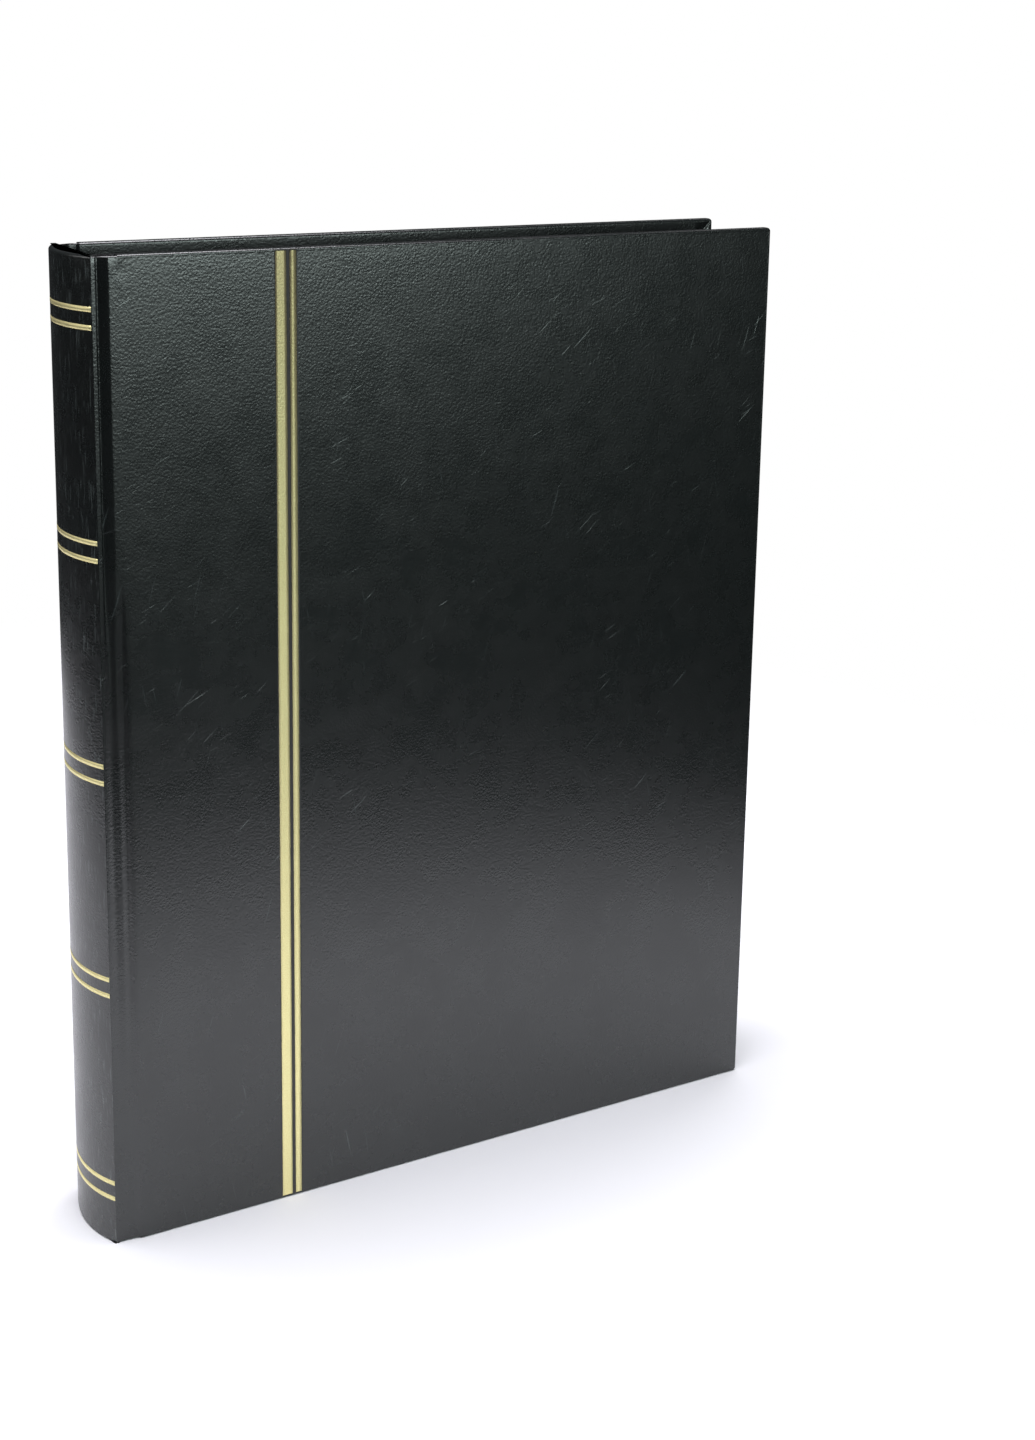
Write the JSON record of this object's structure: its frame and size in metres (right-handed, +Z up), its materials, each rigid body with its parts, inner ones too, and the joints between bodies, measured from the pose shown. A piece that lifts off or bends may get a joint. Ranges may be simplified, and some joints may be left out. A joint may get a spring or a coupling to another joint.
{
  "type": "stamp stock album",
  "caption": "Round-backed hard-cover stock album with turning card leaves that carry clear pocket strips, glassine interleaves, and covers that open flat on cloth joints.",
  "frame": {"origin": "middle of the footprint, on the surface that the album stands on", "axes": "+Z up from tail to head, +X from the spine to the fore edge, -Y out of the front cover and +Y out of the back cover"},
  "size_m": [0.241, 0.038, 0.31],
  "materials": {
    "black_leathercloth": "fine-grained, semi-gloss",
    "gold_foil": "satin, grainy",
    "greyboard": "matt",
    "endpaper": "matt",
    "black_card": "matt",
    "clear_film": "glossy",
    "glassine": "satin, translucent",
    "lining_paper": "matt",
    "band_cloth": "woven",
    "hinge_cloth": "fine cloth",
    "staple_wire": "bright wire"
  },
  "bodies": {
    "spine": {"spine_board": "greyboard", "spine_leather": "black_leathercloth", "spine_foil_lines": "gold_foil", "spine_lining": "lining_paper", "leaf_guards": "black_card", "head_and_tail_bands": "band_cloth", "binding_staples": "staple_wire", "front_joint_leather": "black_leathercloth", "back_joint_leather": "black_leathercloth", "leaf_hinge_cloths": "hinge_cloth"},
    "front_cover": {"front_board": "greyboard", "front_cover_leather": "black_leathercloth", "front_pastedown": "endpaper", "cover_foil_stripes": "gold_foil"},
    "back_cover": {"back_board": "greyboard", "back_cover_leather": "black_leathercloth", "back_pastedown": "endpaper"},
    "front_flyleaf": {"front_flyleaf": "endpaper"},
    "back_flyleaf": {"back_flyleaf": "endpaper"},
    "leaf_01": {"leaf_01": "black_card", "leaf_01_pockets": "clear_film"},
    "leaf_02": {"leaf_02": "black_card", "leaf_02_pockets": "clear_film"},
    "leaf_03": {"leaf_03": "black_card", "leaf_03_pockets": "clear_film"},
    "leaf_04": {"leaf_04": "black_card", "leaf_04_pockets": "clear_film"},
    "leaf_05": {"leaf_05": "black_card", "leaf_05_pockets": "clear_film"},
    "leaf_06": {"leaf_06": "black_card", "leaf_06_pockets": "clear_film"},
    "leaf_07": {"leaf_07": "black_card", "leaf_07_pockets": "clear_film"},
    "leaf_08": {"leaf_08": "black_card", "leaf_08_pockets": "clear_film"},
    "leaf_09": {"leaf_09": "black_card", "leaf_09_pockets": "clear_film"},
    "leaf_10": {"leaf_10": "black_card", "leaf_10_pockets": "clear_film"},
    "leaf_11": {"leaf_11": "black_card", "leaf_11_pockets": "clear_film"},
    "leaf_12": {"leaf_12": "black_card", "leaf_12_pockets": "clear_film"},
    "leaf_13": {"leaf_13": "black_card", "leaf_13_pockets": "clear_film"},
    "leaf_14": {"leaf_14": "black_card", "leaf_14_pockets": "clear_film"},
    "interleaf_01": {"interleaf_01": "glassine"},
    "interleaf_02": {"interleaf_02": "glassine"},
    "interleaf_03": {"interleaf_03": "glassine"},
    "interleaf_04": {"interleaf_04": "glassine"},
    "interleaf_05": {"interleaf_05": "glassine"},
    "interleaf_06": {"interleaf_06": "glassine"},
    "interleaf_07": {"interleaf_07": "glassine"},
    "interleaf_08": {"interleaf_08": "glassine"},
    "interleaf_09": {"interleaf_09": "glassine"},
    "interleaf_10": {"interleaf_10": "glassine"},
    "interleaf_11": {"interleaf_11": "glassine"},
    "interleaf_12": {"interleaf_12": "glassine"},
    "interleaf_13": {"interleaf_13": "glassine"}
  },
  "joints": [
    {"name": "front_cover_turn", "type": "hinge", "parent": "spine", "child": "front_cover", "pos_m": [-0.1108, -0.0193, 0.155], "axis": [0, 0, -1], "range_deg": [0, 180], "deforming": ["front_joint_leather", "leaf_hinge_cloths"]},
    {"name": "back_cover_turn", "type": "hinge", "parent": "spine", "child": "back_cover", "pos_m": [-0.1108, 0.0193, 0.155], "axis": [0, 0, 1], "range_deg": [0, 180], "deforming": ["back_joint_leather"]},
    {"name": "front_flyleaf_turn", "type": "hinge", "parent": "spine", "child": "front_flyleaf", "pos_m": [-0.1065, -0.01455, 0.155], "axis": [0, 0, -1], "range_deg": [0, 85.1]},
    {"name": "leaf_01_turn", "type": "hinge", "parent": "spine", "child": "leaf_01", "pos_m": [-0.1065, -0.013, 0.155], "axis": [0, 0, -1], "range_deg": [0, 79.5]},
    {"name": "interleaf_01_turn", "type": "hinge", "parent": "spine", "child": "interleaf_01", "pos_m": [-0.1065, -0.012, 0.155], "axis": [0, 0, -1], "range_deg": [0, 73.8]},
    {"name": "leaf_02_turn", "type": "hinge", "parent": "spine", "child": "leaf_02", "pos_m": [-0.1065, -0.011, 0.155], "axis": [0, 0, -1], "range_deg": [0, 68.2]},
    {"name": "interleaf_02_turn", "type": "hinge", "parent": "spine", "child": "interleaf_02", "pos_m": [-0.1065, -0.01, 0.155], "axis": [0, 0, -1], "range_deg": [0, 62.5]},
    {"name": "leaf_03_turn", "type": "hinge", "parent": "spine", "child": "leaf_03", "pos_m": [-0.1065, -0.009, 0.155], "axis": [0, 0, -1], "range_deg": [0, 56.9]},
    {"name": "interleaf_03_turn", "type": "hinge", "parent": "spine", "child": "interleaf_03", "pos_m": [-0.1065, -0.008, 0.155], "axis": [0, 0, -1], "range_deg": [0, 51.3]},
    {"name": "leaf_04_turn", "type": "hinge", "parent": "spine", "child": "leaf_04", "pos_m": [-0.1065, -0.007, 0.155], "axis": [0, 0, -1], "range_deg": [0, 45.6]},
    {"name": "interleaf_04_turn", "type": "hinge", "parent": "spine", "child": "interleaf_04", "pos_m": [-0.1065, -0.006, 0.155], "axis": [0, 0, -1], "range_deg": [0, 40]},
    {"name": "leaf_05_turn", "type": "hinge", "parent": "spine", "child": "leaf_05", "pos_m": [-0.1065, -0.005, 0.155], "axis": [0, 0, -1], "range_deg": [0, 34.3]},
    {"name": "interleaf_05_turn", "type": "hinge", "parent": "spine", "child": "interleaf_05", "pos_m": [-0.1065, -0.004, 0.155], "axis": [0, 0, -1], "range_deg": [0, 28.7]},
    {"name": "leaf_06_turn", "type": "hinge", "parent": "spine", "child": "leaf_06", "pos_m": [-0.1065, -0.003, 0.155], "axis": [0, 0, -1], "range_deg": [0, 23.1]},
    {"name": "interleaf_06_turn", "type": "hinge", "parent": "spine", "child": "interleaf_06", "pos_m": [-0.1065, -0.002, 0.155], "axis": [0, 0, -1], "range_deg": [0, 17.4]},
    {"name": "leaf_07_turn", "type": "hinge", "parent": "spine", "child": "leaf_07", "pos_m": [-0.1065, -0.001, 0.155], "axis": [0, 0, -1], "range_deg": [0, 11.8]},
    {"name": "interleaf_07_turn", "type": "hinge", "parent": "spine", "child": "interleaf_07", "pos_m": [-0.1065, 0, 0.155], "axis": [0, 0, -1], "range_deg": [0, 6.1]},
    {"name": "leaf_08_turn", "type": "hinge", "parent": "spine", "child": "leaf_08", "pos_m": [-0.1065, 0.001, 0.155], "axis": [0, 0, 1], "range_deg": [0, 11.8]},
    {"name": "interleaf_08_turn", "type": "hinge", "parent": "spine", "child": "interleaf_08", "pos_m": [-0.1065, 0.002, 0.155], "axis": [0, 0, 1], "range_deg": [0, 17.4]},
    {"name": "leaf_09_turn", "type": "hinge", "parent": "spine", "child": "leaf_09", "pos_m": [-0.1065, 0.003, 0.155], "axis": [0, 0, 1], "range_deg": [0, 23.1]},
    {"name": "interleaf_09_turn", "type": "hinge", "parent": "spine", "child": "interleaf_09", "pos_m": [-0.1065, 0.004, 0.155], "axis": [0, 0, 1], "range_deg": [0, 28.7]},
    {"name": "leaf_10_turn", "type": "hinge", "parent": "spine", "child": "leaf_10", "pos_m": [-0.1065, 0.005, 0.155], "axis": [0, 0, 1], "range_deg": [0, 34.3]},
    {"name": "interleaf_10_turn", "type": "hinge", "parent": "spine", "child": "interleaf_10", "pos_m": [-0.1065, 0.006, 0.155], "axis": [0, 0, 1], "range_deg": [0, 40]},
    {"name": "leaf_11_turn", "type": "hinge", "parent": "spine", "child": "leaf_11", "pos_m": [-0.1065, 0.007, 0.155], "axis": [0, 0, 1], "range_deg": [0, 45.6]},
    {"name": "interleaf_11_turn", "type": "hinge", "parent": "spine", "child": "interleaf_11", "pos_m": [-0.1065, 0.008, 0.155], "axis": [0, 0, 1], "range_deg": [0, 51.3]},
    {"name": "leaf_12_turn", "type": "hinge", "parent": "spine", "child": "leaf_12", "pos_m": [-0.1065, 0.009, 0.155], "axis": [0, 0, 1], "range_deg": [0, 56.9]},
    {"name": "interleaf_12_turn", "type": "hinge", "parent": "spine", "child": "interleaf_12", "pos_m": [-0.1065, 0.01, 0.155], "axis": [0, 0, 1], "range_deg": [0, 62.5]},
    {"name": "leaf_13_turn", "type": "hinge", "parent": "spine", "child": "leaf_13", "pos_m": [-0.1065, 0.011, 0.155], "axis": [0, 0, 1], "range_deg": [0, 68.2]},
    {"name": "interleaf_13_turn", "type": "hinge", "parent": "spine", "child": "interleaf_13", "pos_m": [-0.1065, 0.012, 0.155], "axis": [0, 0, 1], "range_deg": [0, 73.8]},
    {"name": "leaf_14_turn", "type": "hinge", "parent": "spine", "child": "leaf_14", "pos_m": [-0.1065, 0.013, 0.155], "axis": [0, 0, 1], "range_deg": [0, 79.5]},
    {"name": "back_flyleaf_turn", "type": "hinge", "parent": "spine", "child": "back_flyleaf", "pos_m": [-0.1065, 0.01455, 0.155], "axis": [0, 0, 1], "range_deg": [0, 85.1]}
  ],
  "couplings": [
    {"joint": "front_flyleaf_turn", "follows": "front_cover_turn", "ratio": 0.47},
    {"joint": "leaf_01_turn", "follows": "front_cover_turn", "ratio": 0.43867},
    {"joint": "interleaf_01_turn", "follows": "front_cover_turn", "ratio": 0.40733},
    {"joint": "leaf_02_turn", "follows": "front_cover_turn", "ratio": 0.376},
    {"joint": "interleaf_02_turn", "follows": "front_cover_turn", "ratio": 0.34467},
    {"joint": "leaf_03_turn", "follows": "front_cover_turn", "ratio": 0.31333},
    {"joint": "interleaf_03_turn", "follows": "front_cover_turn", "ratio": 0.282},
    {"joint": "leaf_04_turn", "follows": "front_cover_turn", "ratio": 0.25067},
    {"joint": "interleaf_04_turn", "follows": "front_cover_turn", "ratio": 0.21933},
    {"joint": "leaf_05_turn", "follows": "front_cover_turn", "ratio": 0.188},
    {"joint": "interleaf_05_turn", "follows": "front_cover_turn", "ratio": 0.15667},
    {"joint": "leaf_06_turn", "follows": "front_cover_turn", "ratio": 0.12533},
    {"joint": "interleaf_06_turn", "follows": "front_cover_turn", "ratio": 0.094},
    {"joint": "leaf_07_turn", "follows": "front_cover_turn", "ratio": 0.06267},
    {"joint": "interleaf_07_turn", "follows": "front_cover_turn", "ratio": 0.03133},
    {"joint": "leaf_08_turn", "follows": "back_cover_turn", "ratio": 0.06267},
    {"joint": "interleaf_08_turn", "follows": "back_cover_turn", "ratio": 0.094},
    {"joint": "leaf_09_turn", "follows": "back_cover_turn", "ratio": 0.12533},
    {"joint": "interleaf_09_turn", "follows": "back_cover_turn", "ratio": 0.15667},
    {"joint": "leaf_10_turn", "follows": "back_cover_turn", "ratio": 0.188},
    {"joint": "interleaf_10_turn", "follows": "back_cover_turn", "ratio": 0.21933},
    {"joint": "leaf_11_turn", "follows": "back_cover_turn", "ratio": 0.25067},
    {"joint": "interleaf_11_turn", "follows": "back_cover_turn", "ratio": 0.282},
    {"joint": "leaf_12_turn", "follows": "back_cover_turn", "ratio": 0.31333},
    {"joint": "interleaf_12_turn", "follows": "back_cover_turn", "ratio": 0.34467},
    {"joint": "leaf_13_turn", "follows": "back_cover_turn", "ratio": 0.376},
    {"joint": "interleaf_13_turn", "follows": "back_cover_turn", "ratio": 0.40733},
    {"joint": "leaf_14_turn", "follows": "back_cover_turn", "ratio": 0.43867},
    {"joint": "back_flyleaf_turn", "follows": "back_cover_turn", "ratio": 0.47}
  ]
}
